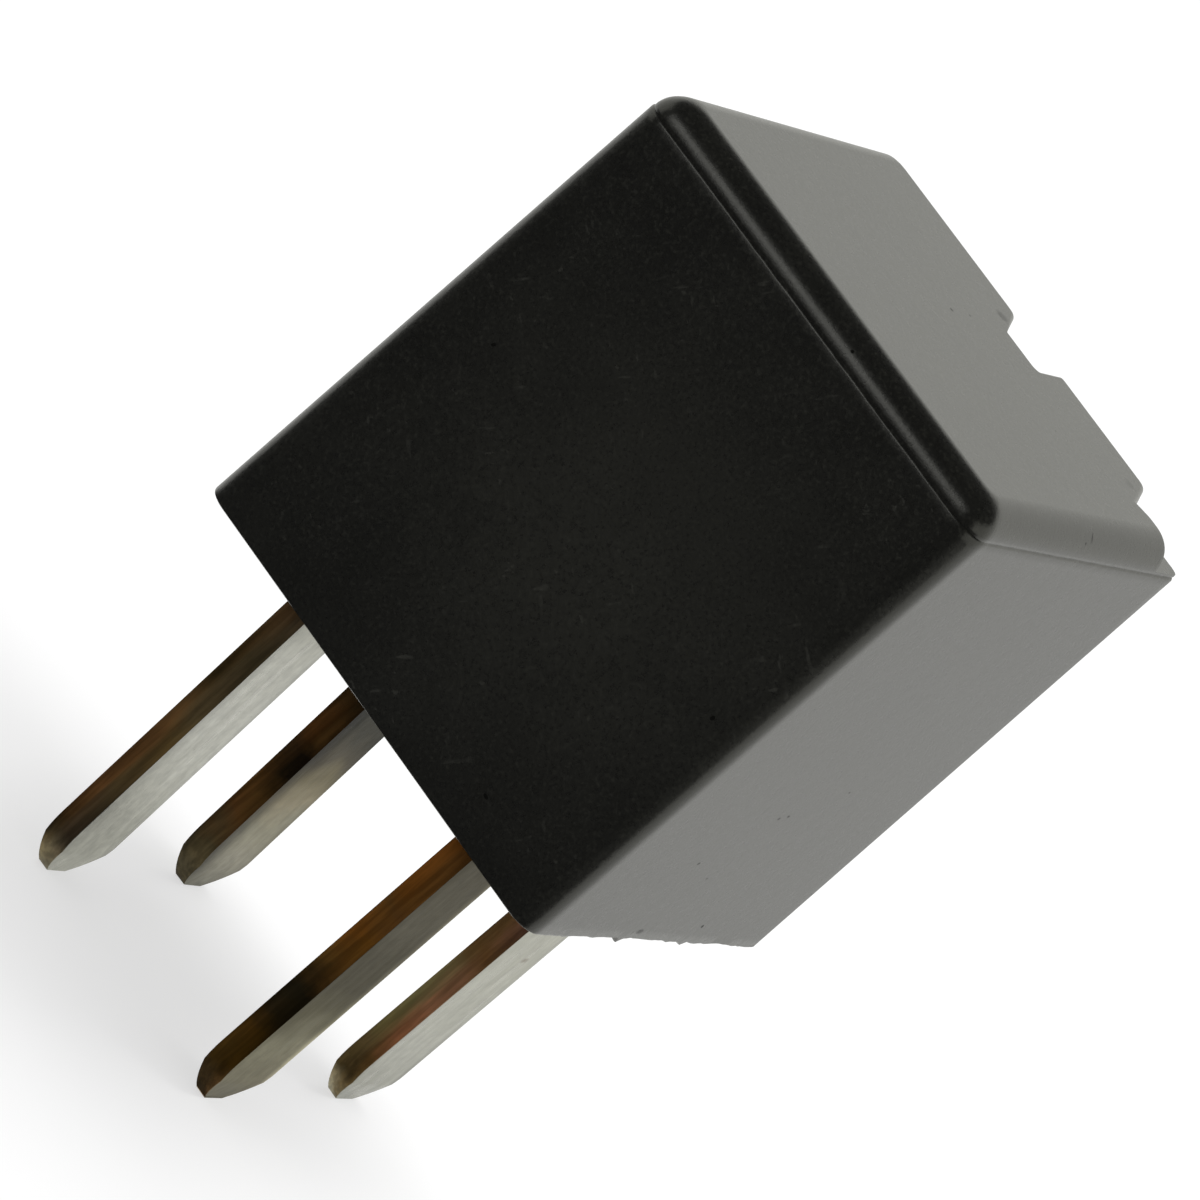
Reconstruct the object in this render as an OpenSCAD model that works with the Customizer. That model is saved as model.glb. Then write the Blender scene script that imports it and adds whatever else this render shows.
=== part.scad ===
// Sealed four-blade automotive relay, normally open.
// Frame: +Z up, rim of the case on z = 0, origin at the middle of the case's footprint.
// The front is -Y, the notched back is +Y, the blades point to -Z. Sizes in millimetres.

/* [Case] */
// Width of the case along X, at its rim
case_w = 15; // [14.6:0.1:18]
// Depth of the case along Y, at its rim
case_d = 14.9; // [14.6:0.1:18]
// Height of the case above its rim
case_h = 16.65; // [16.6:0.05:20]
// Wall of the case beside the mechanism
case_wall = 0.75; // [0.6:0.05:0.8]
// Thickness of the roof
roof_t = 0.9; // [0.7:0.05:1.1]
// Draft of the two sides, in degrees
draft_x = 0.42; // [0:0.02:0.8]
// Draft of the front and the back, in degrees
draft_y = 0.61; // [0:0.02:0.8]
// Round of the top edges
edge_r = 0.9; // [0.5:0.05:1.2]
// Round of the front upright edges
corner_r = 0.75; // [0.4:0.05:1]
// Round of the roof's front corners, where its flat top begins
top_corner_r = 0.35; // [0.2:0.05:0.5]
// Round of the back edges
back_r = 0.3; // [0.15:0.05:0.4]
// Step where the roof part of the mould meets the walls
mould_step = 0.03; // [0.01:0.01:0.08]

/* [Back notches] */
// Depth of the notches from the back face
notch_depth = 2.12; // [1.5:0.02:2.2]
// Bottom of the notches above the mould seam
notch_lift = 0.1; // [0:0.01:0.3]
// Middle of the centre notch's floor, along X
notch_x = 0.28; // [-0.5:0.02:1]
// Width of the centre notch's floor
notch_w = 1.14; // [0.8:0.02:1.4]
// Lean of the left wall of each notch, in degrees from the Y axis
notch_lean = 25; // [10:1:32]
// Left end of the corner notch's floor, along X
corner_notch_x = 5.58; // [5.2:0.02:6]
// How far the corner notch's floor falls back towards the side
corner_fall = 0.25; // [0.05:0.05:0.5]

/* [Blades] */
// Thickness of the terminal strip
strip_t = 0.8; // [0.6:0.05:0.9]
// Width of a blade
blade_w = 2.8; // [2.4:0.1:3]
// Reach of the blades below the rim
blade_l = 10.7; // [8:0.1:12]
// Distance between the blades along X, where they leave the base
pitch_x = 7.95; // [7.7:0.05:8]
// Distance between the blades along Y
pitch_y = 8.1; // [7.9:0.05:8.3]
// Place of the blade pattern's middle along X
pattern_x = 0.2; // [0.15:0.05:0.4]
// Place of the blade pattern's middle along Y
pattern_y = -0.45; // [-0.5:0.05:-0.4]
// Length of the tapered tip
tip_l = 1.7; // [1:0.1:2.2]
// Width left at the very tip
tip_w = 1; // [0.6:0.1:1.4]
// Thickness left at the very tip
tip_t = 0.4; // [0.3:0.05:0.5]
// Chamfer along the two rear arrises of a blade
arris = 0.06; // [0.03:0.01:0.1]
// Lean of blade 85 towards the middle, in degrees
lean_85 = 1.4; // [0:0.1:3]
// Lean of blade 86 towards the middle, in degrees
lean_86 = 2.2; // [0:0.1:3]
// Lean of blade 86 towards the front, in degrees
lean_86_front = 1.2; // [0:0.1:2]
// Lean of blade 30 towards the middle, in degrees
lean_30 = 0.6; // [0:0.1:3]

/* [Base] */
// Thickness of the base plate
base_t = 2; // [1.8:0.1:2.2]
// Height of the base's underside above the rim
base_z = 0.6; // [0.4:0.1:0.8]
// Thickness of the sealing compound
seal_t = 0.4; // [0.2:0.05:0.5]
// Wall of the case beside the base
skirt_wall = 0.65; // [0.5:0.05:0.7]

/* [Coil] */
// Diameter of the core
core_d = 3.8; // [3:0.1:4]
// Diameter of the pole head
pole_d = 6; // [5:0.1:6.6]
// Thickness of the pole head
pole_t = 0.7; // [0.5:0.05:0.9]
// Wall of the bobbin's tube
bobbin_wall = 0.45; // [0.35:0.05:0.6]
// Thickness of the bobbin's flanges
flange_t = 0.7; // [0.5:0.05:0.8]
// Room kept in front of the bobbin for the contacts
contact_bay = 2.86; // [2.7:0.02:3]
// Room kept on each side of the bobbin for the pins and the resistor
side_bay = 2.38; // [2.36:0.02:2.7]
// Room kept above the pole for the armature, the leaf and the stop
head_room = 3.15; // [3.1:0.05:3.4]
// How far the winding stays inside the flanges' edge
winding_in = 0.3; // [0.2:0.05:0.8]
// Pitch of the wire on the outer layer
wire_pitch = 0.34; // [0.25:0.01:0.5]
// Side of the square coil pins
pin_w = 0.5; // [0.4:0.05:0.6]

/* [Yoke and armature] */
// Thickness of the yoke
yoke_t = 1.1; // [0.9:0.05:1.1]
// Width of the yoke's foot
foot_w = 6.1; // [5:0.1:6.2]
// Height of the yoke's wide shoulders
shoulder_h = 4.7; // [3.5:0.1:5]
// Width of the yoke beside the armature
yoke_w = 8.4; // [8:0.1:8.8]
// Thickness of the armature
armature_t = 1.1; // [0.9:0.05:1.1]
// Width of the armature
armature_w = 7.2; // [6.6:0.1:7.2]
// Round of the armature's knife edge
knife_r = 0.2; // [0.15:0.05:0.3]
// Swing of the armature from released to closed, in degrees
swing = 3; // [2:0.1:3.2]
// Thickness of the leaf spring
leaf_t = 0.17; // [0.12:0.01:0.2]
// Width of the leaf spring at the yoke
leaf_w = 4.8; // [4:0.1:5.2]
// Room behind the yoke for the leaf's rivet heads
leaf_gap = 0.38; // [0.35:0.01:0.45]

/* [Contacts] */
// Diameter of the moving contact's head
moving_d = 2.2; // [1.8:0.1:2.3]
// Diameter of the fixed contact's head
fixed_d = 2.2; // [1.8:0.1:2.3]
// Thickness of both contact heads
contact_t = 0.5; // [0.35:0.05:0.55]
// Diameter of both contact shanks
shank_d = 1.1; // [0.8:0.1:1.2]

/* [Suppression resistor] */
// Diameter of the resistor's body
resistor_d = 1.6; // [1.4:0.1:1.7]
// Length of the resistor's body
resistor_l = 3.8; // [3:0.1:4.4]
// Diameter of the resistor's wires
lead_d = 0.45; // [0.35:0.05:0.5]

/* [Hidden] */

$fn = 48;
cut = 1;            // how far a cutting solid runs past the face it cuts
fit = 0.03;         // clearance of a part in its slot
run = 0.03;         // working gap left at a stop or a pole
soft_fn = 32;       // roundness of hulled shapes

black_plastic = [0.09, 0.09, 0.08];
grey_plastic = [0.2, 0.2, 0.19];
resin = [0.12, 0.11, 0.1];
tin = [0.66, 0.65, 0.6];
iron = [0.62, 0.62, 0.6];
copper = [0.72, 0.42, 0.2];
bronze = [0.72, 0.55, 0.3];
silver = [0.8, 0.8, 0.78];
natural_plastic = [0.75, 0.72, 0.62];
blue_lacquer = [0.35, 0.5, 0.62];

// Case, from the rim up
parting_z = case_h - edge_r;
roof_z = case_h - roof_t;
base_top = base_z + base_t;
function half_w(z) = case_w / 2 - tan(draft_x) * z;
function half_d(z) = case_d / 2 - tan(draft_y) * z;
room_x = half_w(parting_z) - case_wall;
room_y = half_d(parting_z) - case_wall;
room_r = 0.5;
pocket_x = case_w / 2 - skirt_wall;
pocket_y = case_d / 2 - skirt_wall;
notch_y = half_d(case_h) - notch_depth;
notch_round = 0.3;
low_roof_z = parting_z - case_wall;
low_roof_y = notch_y - case_wall;

// Blade places
left_x = pattern_x - pitch_x / 2;
right_x = pattern_x + pitch_x / 2;
front_y = pattern_y - pitch_y / 2;
rear_y = pattern_y + pitch_y / 2;
left_in = left_x + strip_t / 2;
right_in = right_x - strip_t / 2;

// Magnet frame, from the back wall forwards
yoke_back = room_y - leaf_gap - leaf_t;
yoke_front = yoke_back - yoke_t;
coil_gap = 0.05;    // bobbin to yoke

// Magnet stack, from the base up and from the roof down
foot_z = base_top;
bobbin_z = foot_z + yoke_t;
coil_z = bobbin_z + flange_t;
pole_face_z = roof_z - head_room;
pole_z = pole_face_z - pole_t;
top_flange_z = pole_z - flange_t;
winding_l = top_flange_z - coil_z;
hub_d = core_d + 2 * (fit + bobbin_wall);
flange_back = yoke_front - coil_gap;
flange_w = min(flange_back - contact_bay + room_y, 2 * (room_x - side_bay));
flange_front = flange_back - flange_w;
winding_d = flange_w - 2 * winding_in;
coil_x = 0;
coil_y = (flange_front + flange_back) / 2;
tail_d = 2.6;       // riveted end of the core
tail_w = 2;         // its shank, through the yoke's foot
tail_h = 0.35;
horn_h = 0.9;
neck_w = 2 * (right_in - fit);
neck_z = pole_face_z - shoulder_h;
tenon_z = coil_z + 0.6;
tenon_h = 1.6;
tenon_in = 0.25;    // how much thinner the tenon is, on each face
tenon_end = right_in + strip_t + 0.15;

// Hinge: the armature's rounded rear lower edge rolls on the yoke's top
hinge_y = yoke_back - knife_r;
hinge_z = pole_face_z + run + knife_r;
armature_z = pole_face_z + run;
armature_top = armature_z + armature_t;
armature_front = coil_y - pole_d / 2 - 0.5;
rivet_y = coil_y + 0.4;
rivet_x = 1.3;
rivet_d = 0.8;
rivet_head_d = 1.5;
rivet_head_t = 0.22;
contact_in = 0.08;  // contacts a little nearer the wall than the coil
contact_y = (flange_front - room_y) / 2 - contact_in;
leaf_front_w = 2.4;
leaf_end = contact_y - leaf_front_w / 2;
leaf_top = armature_top + leaf_t;
upset_d = 1.6;
upset_t = 0.15;

// Fixed contact, met by the moving one at the end of the swing
fixed_top = armature_top - contact_t - run;
tab_top = fixed_top - contact_t;
tab_z = tab_top - strip_t;
tab_left = -fixed_d / 2 - 0.1;
tab_front = -room_y + 0.2;
tab_back = flange_front - 0.15;
post_front = tab_front;

// Coil side
flag_gap = 0.2;
flag_w = blade_w - 0.4;
flag_out = flag_gap - room_x;
pin_out = 0.45;     // pin to the flange's edge
lug_out = 0.9;
lug_x = coil_x - flange_w / 2 - lug_out;
pin_x = coil_x - flange_w / 2 - pin_out;
pin_front_y = front_y + 0.75;
pin_rear_y = rear_y - 0.65;
wire_d = 0.2;
wrap_z = coil_z + 0.5;
lead_in = 0.95;     // resistor's wires to the side wall
lead_x = lead_in - room_x;
lead_front_y = front_y - 0.4;
lead_rear_y = rear_y + 0.7;
lead_bend = 0.6;
resistor_z = coil_z + 1.6;

// A point turned about the hinge from closed to released
function released(p) =
    let (dy = p[0] - hinge_y)
    let (dz = p[1] - hinge_z)
    [hinge_y + dy * cos(swing) + dz * sin(swing), hinge_z - dy * sin(swing) + dz * cos(swing)];

// Back stop, just above the released contact
stop_t = 0.5;
stop_w = 1.6;
stop_left = left_in + 0.2;
stop_over = 0.8;    // how far the hook passes the contact's middle
stop_front = 0.15 - room_y;
stop_foot = 1.15;   // how deep it is pressed in the base
stop_z = released([contact_y - upset_d / 2, leaf_top + upset_t])[1] + run;

// ---- shared forms ----

// Rounded rectangle, centred, as an exact outline
module rounded(w, d, r) {
    union() {
        square([w - 2 * r, d], center = true);
        square([w, d - 2 * r], center = true);
        for (sx = [-1, 1], sy = [-1, 1]) {
            translate([sx * (w / 2 - r), sy * (d / 2 - r)]) circle(r);
        }
    }
}

// Outline in the YZ plane, made solid over a width along X
module along_x(x, w) {
    translate([x, 0, 0]) rotate([90, 0, 90]) linear_extrude(w) children();
}

// Outline in the XZ plane, made solid over a depth along Y, from y towards +Y
module along_y(y, d) {
    translate([0, y + d, 0]) rotate([90, 0, 0]) linear_extrude(d) children();
}

// Turns what hangs on the armature from its closed place to its released one
module at_release() {
    translate([0, hinge_y, hinge_z])
        rotate([-swing, 0, 0])
            translate([0, -hinge_y, -hinge_z])
                children();
}

// Cubic curve through two end points
curve_steps = 8;
function bezier(a, b, c, d) = [
    for (i = [0:curve_steps])
        let (t = i / curve_steps)
        let (s = 1 - t)
        s * s * s * a + 3 * s * s * t * b + 3 * s * t * t * c + t * t * t * d
];

// A path without its first point
function rest(path) = [for (i = [1:len(path) - 1]) path[i]];

// Left normal of a path at one of its points
function normal_at(path, i) =
    let (p = path[max(i - 1, 0)])
    let (q = path[min(i + 1, len(path) - 1)])
    let (v = q - p)
    [-v[1], v[0]] / norm(v);

// Band of even thickness along a path
function band(path, t) = concat(
    [for (i = [0:len(path) - 1]) path[i] + normal_at(path, i) * t / 2],
    [for (i = [len(path) - 1:-1:0]) path[i] - normal_at(path, i) * t / 2]
);

// ---- case ----

// Drafted walls, up to the plane where the mould parts
module case_walls() {
    rear_r = back_r + 0.15;
    hull() {
        for (z = [0, parting_z], sx = [-1, 1]) {
            h = 0.01;
            at = z == 0 ? 0 : parting_z - h;
            translate([sx * (half_w(z) - corner_r), corner_r - half_d(z), at])
                cylinder(r = corner_r, h = h, $fn = soft_fn);
            translate([sx * (half_w(z) - rear_r), half_d(z) - rear_r, at])
                cylinder(r = rear_r, h = h, $fn = soft_fn);
        }
    }
}

// Roof with its rounded edges, a hair smaller than the walls under it
module case_roof() {
    wide = half_w(parting_z) - mould_step;
    deep = half_d(parting_z) - mould_step;
    overlap = 0.2;
    h = 0.01;
    hull() {
        for (sx = [-1, 1], a = [-15:15:90]) {
            rise = a < 0 ? -overlap : edge_r * sin(a);
            share = a < 0 ? 0 : 1 - cos(a);
            front_r = corner_r + (top_corner_r - corner_r) * share;
            back_rise = max(rise - edge_r + back_r, 0);
            back_in = back_r - sqrt(back_r * back_r - back_rise * back_rise);
            x = wide - edge_r * share;
            translate([sx * (x - front_r), edge_r * share + front_r - deep, parting_z + rise - h])
                cylinder(r = front_r, h = h, $fn = soft_fn);
            translate([sx * (x - back_r), deep - back_in - back_r, parting_z + rise - h])
                cylinder(r = back_r, h = h, $fn = soft_fn);
        }
    }
}

// One notch's outline in plan: leaning left wall, floor, square right wall with a rounded foot
module notch_outline(left, right) {
    run_out = notch_depth + cut;
    lean = tan(notch_lean) * run_out;
    lap = 0.1;
    union() {
        polygon([
            [left, notch_y],
            [right - notch_round, notch_y],
            [right - notch_round, notch_y + run_out],
            [left - lean, notch_y + run_out]
        ]);
        translate([right - notch_round - lap, notch_y + notch_round])
            square([notch_round + lap, run_out - notch_round]);
        translate([right - notch_round, notch_y + notch_round]) circle(notch_round);
    }
}

// The corner notch runs out through the side; its floor falls back a little
module corner_outline() {
    run_out = notch_depth + cut;
    lean = tan(notch_lean) * run_out;
    fall_w = 0.6;
    side = case_w / 2 + cut;
    polygon([
        [corner_notch_x, notch_y],
        [corner_notch_x + fall_w, notch_y + corner_fall],
        [side, notch_y + corner_fall],
        [side, notch_y + run_out],
        [corner_notch_x - lean, notch_y + run_out]
    ]);
}

module notches() {
    left = notch_x - notch_w / 2;
    right = notch_x + notch_w / 2 + notch_round;
    translate([0, 0, parting_z + notch_lift]) linear_extrude(edge_r + cut) {
        notch_outline(left, right);
        corner_outline();
    }
}

module case_room() {
    difference() {
        translate([0, 0, base_top - cut / 2])
            linear_extrude(roof_z - base_top + cut / 2) rounded(2 * room_x, 2 * room_y, room_r);
        translate([-case_w / 2, low_roof_y, low_roof_z]) cube([case_w, case_d / 2, edge_r + cut]);
    }
}

module cover() {
    color(black_plastic)
        difference() {
            union() {
                case_walls();
                case_roof();
            }
            notches();
            case_room();
            translate([0, 0, -cut])
                linear_extrude(base_top + cut) rounded(2 * pocket_x, 2 * pocket_y, room_r);
        }
}

// ---- base and seal ----

module blade_slots(z, h) {
    for (x = [left_x, right_x], y = [front_y, rear_y]) {
        translate([x - strip_t / 2, y - blade_w / 2, z]) cube([strip_t, blade_w, h]);
    }
}

// Two low ribs that hold the yoke's foot between them, and the well under the core's end
module base() {
    rib_t = 0.4;
    rib_h = 0.7;
    rib_l = 3;
    rib_y = coil_y - rib_l;
    sunk = 0.1;
    well_d = tail_d + 0.8;
    color(grey_plastic)
        difference() {
            union() {
                translate([0, 0, base_z]) linear_extrude(base_t)
                    rounded(2 * (pocket_x - fit), 2 * (pocket_y - fit), room_r - fit);
                for (x = [coil_x - foot_w / 2 - rib_t, coil_x + foot_w / 2]) {
                    translate([x, rib_y, base_top - sunk]) cube([rib_t, rib_l, rib_h + sunk]);
                }
            }
            blade_slots(base_z - cut, base_t + 2 * cut);
            translate([coil_x, coil_y, base_top - tail_h - fit])
                cylinder(d = well_d, h = tail_h + cut);
            translate([stop_left, stop_front, base_top - stop_foot])
                cube([stop_w, stop_t, stop_foot + cut]);
        }
}

module base_seal() {
    color(resin)
        difference() {
            translate([0, 0, base_z - seal_t]) linear_extrude(seal_t)
                rounded(2 * pocket_x, 2 * pocket_y, room_r);
            blade_slots(base_z - seal_t - cut, seal_t + 2 * cut);
        }
}

// ---- terminals ----

// Outline of a blade in its strip's plane, from the tip up to a height
module blade_outline(y, top_z) {
    side_r = tip_l * tip_l / (blade_w - tip_w) + (blade_w - tip_w) / 4;
    root_z = tip_l - blade_l;
    lap = 0.01;
    union() {
        translate([y - blade_w / 2, root_z]) square([blade_w, top_z - root_z]);
        intersection() {
            translate([y - blade_w / 2, -blade_l]) square([blade_w, tip_l + lap]);
            translate([y + blade_w / 2 - side_r, root_z]) circle(side_r, $fn = 96);
            translate([y - blade_w / 2 + side_r, root_z]) circle(side_r, $fn = 96);
        }
    }
}

// The blade below the seal, its flats drawn in at the tip and its rear arrises broken
module bare_blade(x, y, top_z) {
    flat_z = tip_l * 0.55 - blade_l;
    side = arris * sqrt(2);
    difference() {
        intersection() {
            along_x(x - strip_t / 2, strip_t) blade_outline(y, top_z);
            along_y(y - blade_w / 2 - cut, blade_w + 2 * cut)
                polygon([
                    [x - tip_t / 2, -blade_l],
                    [x + tip_t / 2, -blade_l],
                    [x + strip_t / 2, flat_z],
                    [x + strip_t / 2, top_z],
                    [x - strip_t / 2, top_z],
                    [x - strip_t / 2, flat_z]
                ]);
        }
        for (sx = [-1, 1]) {
            translate([x + sx * strip_t / 2, y + blade_w / 2, -blade_l - cut])
                rotate([0, 0, 45])
                    translate([-side / 2, -side / 2, 0]) cube([side, side, blade_l + cut]);
        }
    }
}

// A blade and its tang through the base; it leans as it was left by handling
module blade(x, y, lean = 0, lean_front = 0) {
    bend_z = base_z - seal_t;
    lap = 0.1;
    union() {
        translate([x - strip_t / 2, y - blade_w / 2, bend_z])
            cube([strip_t, blade_w, base_top - bend_z]);
        translate([x, y, bend_z])
            rotate([-lean_front, -lean, 0])
                translate([-x, -y, -bend_z])
                    bare_blade(x, y, bend_z);
        intersection() {
            bare_blade(x, y, bend_z);
            translate([x - strip_t / 2, y - blade_w / 2, bend_z - lap])
                cube([strip_t, blade_w, lap]);
        }
    }
}

// Coil terminal: the strip folds outwards over the base, to a flag with two holes
module coil_terminal(y, pin_y, lead_y, lean, lean_front) {
    color(tin)
        difference() {
            union() {
                blade(left_x, y, lean, lean_front);
                along_y(y - flag_w / 2, flag_w)
                    union() {
                        translate([flag_out, base_top])
                            square([left_x - flag_out, strip_t]);
                        translate([left_x - 0.01, base_top])
                            intersection() {
                                circle(strip_t);
                                square([strip_t, strip_t]);
                            }
                    }
            }
            translate([left_in, y - blade_w, base_top - 0.1])
                cube([strip_t, 2 * blade_w, strip_t + cut]);
            translate([pin_x - pin_w / 2 - fit, pin_y - pin_w / 2 - fit, base_top - cut])
                cube([pin_w + 2 * fit, pin_w + 2 * fit, strip_t + 2 * cut]);
            translate([lead_x, lead_y, base_top - cut])
                cylinder(d = lead_d + 2 * fit, h = strip_t + 2 * cut);
        }
}

module terminal_85() {
    coil_terminal(front_y, pin_front_y, lead_front_y, lean_85, 0);
}

module terminal_86() {
    coil_terminal(rear_y, pin_rear_y, lead_rear_y, lean_86, lean_86_front);
}

// Load terminal under the fixed contact: post beside the coil, folded over towards the middle
module terminal_87() {
    shoulder = 0.6;
    post_w = tab_back - post_front;
    bend_r = 0.4;
    color(tin)
        difference() {
            union() {
                blade(right_x, front_y);
                along_x(right_in, strip_t)
                    polygon([
                        [post_front, base_top],
                        [front_y + blade_w / 2, base_top],
                        [front_y + blade_w / 2, base_top + shoulder],
                        [tab_back, base_top + shoulder + 0.3],
                        [tab_back, tab_top - bend_r - strip_t],
                        [post_front, tab_top - bend_r - strip_t]
                    ]);
                along_y(post_front, post_w)
                    difference() {
                        union() {
                            translate([right_in, tab_top - bend_r - strip_t])
                                square([strip_t, bend_r + 0.01]);
                            translate([tab_left, tab_z])
                                square([right_in - bend_r - tab_left + 0.01, strip_t]);
                            translate([right_in - bend_r, tab_z - bend_r])
                                intersection() {
                                    circle(bend_r + strip_t);
                                    square(bend_r + strip_t);
                                }
                        }
                        translate([right_in - bend_r, tab_z - bend_r]) circle(bend_r);
                    }
            }
            translate([0, contact_y, tab_z - cut]) cylinder(d = shank_d, h = strip_t + 2 * cut);
        }
}

// Load terminal at the yoke: plate under the coil, post with a slot that the yoke's tenon fills
module terminal_30() {
    plate_h = yoke_t - 0.1;
    post_back = yoke_back;
    post_low = yoke_front;
    post_top = tenon_z + tenon_h + 0.9;
    color(tin)
        difference() {
            union() {
                blade(right_x, rear_y, -lean_30);
                along_x(right_in, strip_t)
                    polygon([
                        [rear_y - blade_w / 2, base_top],
                        [post_back, base_top],
                        [post_back, post_top],
                        [post_low, post_top],
                        [post_low, base_top + plate_h],
                        [rear_y - blade_w / 2, base_top + plate_h]
                    ]);
            }
            translate([right_in - cut, yoke_front + tenon_in, tenon_z])
                cube([strip_t + 2 * cut, yoke_t - 2 * tenon_in, tenon_h]);
        }
}

// ---- coil ----

module flange(z) {
    translate([coil_x, coil_y, z]) linear_extrude(flange_t) rounded(flange_w, flange_w, 1);
}

// Lug for one pin, joined to the flange by a web that leans towards the coil
module pin_lug(y) {
    lug_w = 1.2;
    inner_x = coil_x - flange_w / 4;
    inner_y = (y + coil_y) / 2;
    translate([0, 0, bobbin_z])
        linear_extrude(flange_t)
            polygon([
                [lug_x, y - lug_w / 2],
                [pin_x + pin_out, y - lug_w / 2],
                [inner_x, inner_y - lug_w / 2],
                [inner_x, inner_y + lug_w / 2],
                [pin_x + pin_out, y + lug_w / 2],
                [lug_x, y + lug_w / 2]
            ]);
}

module bobbin() {
    color(natural_plastic)
        difference() {
            union() {
                flange(bobbin_z);
                flange(top_flange_z);
                translate([coil_x, coil_y, bobbin_z])
                    cylinder(d = hub_d, h = pole_z - bobbin_z);
                pin_lug(pin_front_y);
                pin_lug(pin_rear_y);
            }
            translate([coil_x, coil_y, bobbin_z - cut])
                cylinder(d = core_d + 2 * fit, h = pole_z - bobbin_z + 2 * cut);
            for (y = [pin_front_y, pin_rear_y]) {
                translate([pin_x - pin_w / 2, y - pin_w / 2, bobbin_z - cut])
                    cube([pin_w, pin_w, flange_t + 2 * cut]);
            }
        }
}

// The outer layer shows its turns; below it the winding is one body
module wound_wire() {
    turns = floor(winding_l / wire_pitch);
    pitch = winding_l / turns;
    body_r = winding_d / 2 - pitch / 2;
    translate([coil_x, coil_y, coil_z])
        rotate_extrude()
            union() {
                translate([hub_d / 2, 0]) square([body_r - hub_d / 2, winding_l]);
                for (i = [0:turns - 1]) {
                    translate([body_r, (i + 0.5) * pitch]) circle(pitch / 2, $fn = 16);
                }
            }
}

// A wire end: straight from the winding to its pin, then wrapped round it
module wire_end(y) {
    run_x = coil_x - pin_x;
    run_y = coil_y - y;
    reach = norm([run_x, run_y]) - winding_d / 2 + wire_d;
    wrap_turns = 4;
    translate([pin_x, y, wrap_z]) {
        rotate([0, 90, atan2(run_y, run_x)]) cylinder(d = wire_d, h = reach, $fn = 24);
        difference() {
            for (i = [0:wrap_turns - 1]) {
                translate([0, 0, (i - 0.5) * wire_d * 0.9])
                    cylinder(d = pin_w * sqrt(2) + 2 * wire_d, h = wire_d, $fn = 24);
            }
            translate([-pin_w / 2, -pin_w / 2, -cut]) cube([pin_w, pin_w, 3 * cut]);
        }
    }
}

module coil_winding() {
    color(copper)
        union() {
            wound_wire();
            wire_end(pin_front_y);
            wire_end(pin_rear_y);
        }
}

module core() {
    tail_z = foot_z - tail_h;
    color(iron)
        translate([coil_x, coil_y, 0])
            union() {
                translate([0, 0, bobbin_z]) cylinder(d = core_d, h = pole_z - bobbin_z);
                translate([0, 0, pole_z]) cylinder(d = pole_d, h = pole_t);
                translate([0, 0, foot_z]) cylinder(d = tail_w, h = yoke_t);
                translate([0, 0, tail_z]) cylinder(d1 = tail_w, d2 = tail_d, h = tail_h);
            }
}

module coil_pin(y) {
    wrap_h = 1.6;
    color(tin)
        translate([pin_x - pin_w / 2, y - pin_w / 2, base_top])
            cube([pin_w, pin_w, bobbin_z + flange_t + wrap_h - base_top]);
}

module coil_pin_start() {
    coil_pin(pin_front_y);
}

module coil_pin_end() {
    coil_pin(pin_rear_y);
}

// ---- magnet frame ----

// Outline of the yoke's upright, seen from the back: neck, shoulders, horns and side tenon
module upright_outline(low_z) {
    horn_gap = 0.1;
    difference() {
        union() {
            translate([-neck_w / 2, low_z]) square([neck_w, pole_face_z - low_z]);
            translate([-yoke_w / 2, neck_z])
                square([yoke_w, pole_face_z + horn_h - neck_z]);
            translate([0, tenon_z]) square([tenon_end, tenon_h]);
        }
        translate([-armature_w / 2 - horn_gap, pole_face_z])
            square([armature_w + 2 * horn_gap, horn_h + cut]);
    }
}

// Folded from one sheet: foot under the coil, narrow neck, wide shoulders with two horns
module yoke() {
    bend_r = 0.5;
    foot_front = coil_y - tail_d / 2 - 1.2;
    low_z = bobbin_z + 0.3;
    color(iron)
        difference() {
            union() {
                along_x(coil_x - foot_w / 2, foot_w)
                    union() {
                        translate([foot_front, foot_z])
                            square([yoke_back - bend_r - foot_front, yoke_t]);
                        translate([yoke_back - bend_r, foot_z + bend_r]) circle(bend_r);
                        translate([yoke_front, foot_z + bend_r])
                            square([yoke_t, low_z - foot_z - bend_r]);
                    }
                along_y(yoke_front, yoke_t) upright_outline(low_z);
            }
            translate([coil_x, coil_y, foot_z - cut]) cylinder(d = tail_w, h = yoke_t + 2 * cut);
            for (sx = [-1, 1]) {
                translate([sx * rivet_x, yoke_back + cut, yoke_rivet_z]) rotate([90, 0, 0])
                    cylinder(d = rivet_d, h = yoke_t + 2 * cut);
            }
            for (y = [yoke_front + tenon_in - cut, yoke_back - tenon_in]) {
                translate([right_in - fit, y, tenon_z - cut / 2])
                    cube([tenon_end, cut, tenon_h + cut]);
            }
        }
}

// Flat plate, its lower rear edge rounded about the hinge line, its upper one eased for the leaf
module armature() {
    ease_r = 0.5;
    color(iron)
        at_release()
            difference() {
                intersection() {
                    along_x(-armature_w / 2, armature_w)
                        union() {
                            translate([armature_front, armature_z])
                                square([hinge_y - armature_front, armature_t]);
                            translate([hinge_y, hinge_z]) circle(knife_r);
                            translate([hinge_y - 0.01, hinge_z])
                                square([knife_r + 0.01, armature_t - knife_r - ease_r]);
                            translate([yoke_back - ease_r, armature_top - ease_r]) circle(ease_r);
                        }
                    translate([0, 0, armature_z - cut])
                        linear_extrude(armature_t + 2 * cut)
                            armature_plan();
                }
                for (sx = [-1, 1]) {
                    translate([sx * rivet_x, rivet_y, armature_z - cut])
                        cylinder(d = rivet_d, h = armature_t + 2 * cut);
                }
            }
}

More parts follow.
